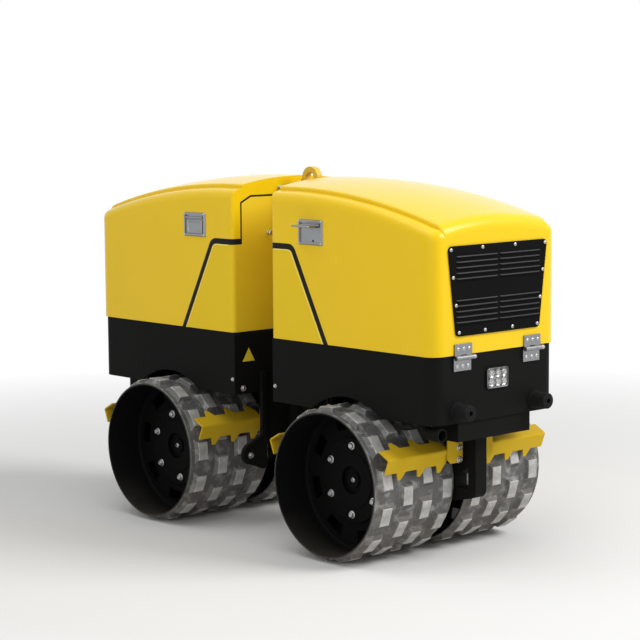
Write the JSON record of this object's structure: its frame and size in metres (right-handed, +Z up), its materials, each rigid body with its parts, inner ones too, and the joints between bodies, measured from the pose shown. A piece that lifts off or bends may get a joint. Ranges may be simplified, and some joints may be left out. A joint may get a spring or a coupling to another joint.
{
  "type": "articulated trench roller",
  "caption": "Walk-behind class articulated trench roller with padded drums, hinged hoods, steering pivot, bar scrapers and lifting eye.",
  "frame": {"origin": "on the ground under the middle of the machine", "axes": "+X along the machine to its front end, +Y to its left, +Z up"},
  "size_m": [2, 0.85, 1.3749],
  "materials": {
    "hood_yellow": "semi-gloss machine yellow",
    "frame_black": "satin black",
    "drum_steel": "worn bare cast steel",
    "zinc_steel": "zinc plated",
    "stainless": "brushed stainless",
    "rod_chrome": "hard chrome",
    "rubber_black": "matt rubber",
    "lamp_body": "moulded lamp",
    "engine_grey": "engine block, plain"
  },
  "bodies": {
    "rear": {"rear_chassis": "frame_black", "rear_carrier": "frame_black", "rear_scrapers": "hood_yellow", "rear_cowl": "hood_yellow", "rear_seals": "rubber_black", "rear_base_leaves": "stainless", "rear_lamp": "lamp_body", "rear_buffers": "rubber_black", "rear_fork": "frame_black", "barrel_bracket": "frame_black", "lock_plate": "frame_black", "lifting_post": "frame_black", "lifting_eye": "hood_yellow"},
    "link": {"link": "frame_black"},
    "front": {"front_chassis": "frame_black", "front_carrier": "frame_black", "front_scrapers": "hood_yellow", "front_cowl": "hood_yellow", "front_seals": "rubber_black", "front_base_leaves": "stainless", "front_lamp": "lamp_body", "front_buffers": "rubber_black", "front_bearing": "frame_black", "engine_block": "engine_grey"},
    "front_hood": {"front_hood": "hood_yellow", "front_grille": "frame_black", "front_hood_leaves": "stainless", "front_latches": "stainless"},
    "rear_hood": {"rear_hood": "hood_yellow", "rear_grille": "frame_black", "rear_hood_leaves": "stainless", "rear_latches": "stainless"},
    "steering_barrel": {"steering_barrel": "frame_black"},
    "steering_rod": {"steering_rod": "rod_chrome"},
    "front_left_drum": {"front_left_drum": "drum_steel", "front_left_disc": "frame_black"},
    "front_right_drum": {"front_right_drum": "drum_steel", "front_right_disc": "frame_black"},
    "rear_left_drum": {"rear_left_drum": "drum_steel", "rear_left_disc": "frame_black"},
    "rear_right_drum": {"rear_right_drum": "drum_steel", "rear_right_disc": "frame_black"}
  },
  "joints": [
    {"name": "steering", "type": "hinge", "parent": "rear", "child": "link", "pos_m": [0, 0, 0.415], "axis": [0, 0, 1], "range_deg": [-30, 30]},
    {"name": "oscillation", "type": "hinge", "parent": "link", "child": "front", "pos_m": [0, 0, 0.415], "axis": [1, 0, 0], "range_deg": [-8, 8]},
    {"name": "front_hood_lift", "type": "hinge", "parent": "front", "child": "front_hood", "pos_m": [0.9475, 0, 0.751], "axis": [0, 1, 0], "range_deg": [0, 70]},
    {"name": "rear_hood_lift", "type": "hinge", "parent": "rear", "child": "rear_hood", "pos_m": [-0.9475, 0, 0.751], "axis": [0, -1, 0], "range_deg": [0, 70]},
    {"name": "steering_barrel_turn", "type": "hinge", "parent": "rear", "child": "steering_barrel", "pos_m": [-0.19, 0.13, 0.465], "axis": [0, 0, 1], "range_deg": [-14, 14]},
    {"name": "steering_rod_slide", "type": "slide", "parent": "steering_barrel", "child": "steering_rod", "axis": [1, 0, 0], "range_m": [-0.07, 0.07]},
    {"name": "front_left_drum_spin", "type": "hinge", "parent": "front", "child": "front_left_drum", "pos_m": [0.5, 0, 0.278], "axis": [0, 1, 0], "continuous": true},
    {"name": "front_right_drum_spin", "type": "hinge", "parent": "front", "child": "front_right_drum", "pos_m": [0.5, 0, 0.278], "axis": [0, 1, 0], "continuous": true},
    {"name": "rear_left_drum_spin", "type": "hinge", "parent": "rear", "child": "rear_left_drum", "pos_m": [-0.5, 0, 0.278], "axis": [0, 1, 0], "continuous": true},
    {"name": "rear_right_drum_spin", "type": "hinge", "parent": "rear", "child": "rear_right_drum", "pos_m": [-0.5, 0, 0.278], "axis": [0, 1, 0], "continuous": true}
  ],
  "couplings": [
    {"joint": "steering_barrel_turn", "follows": "steering", "ratio": 0.437},
    {"joint": "steering_rod_slide", "follows": "steering", "m_per_rad": -0.1284}
  ]
}
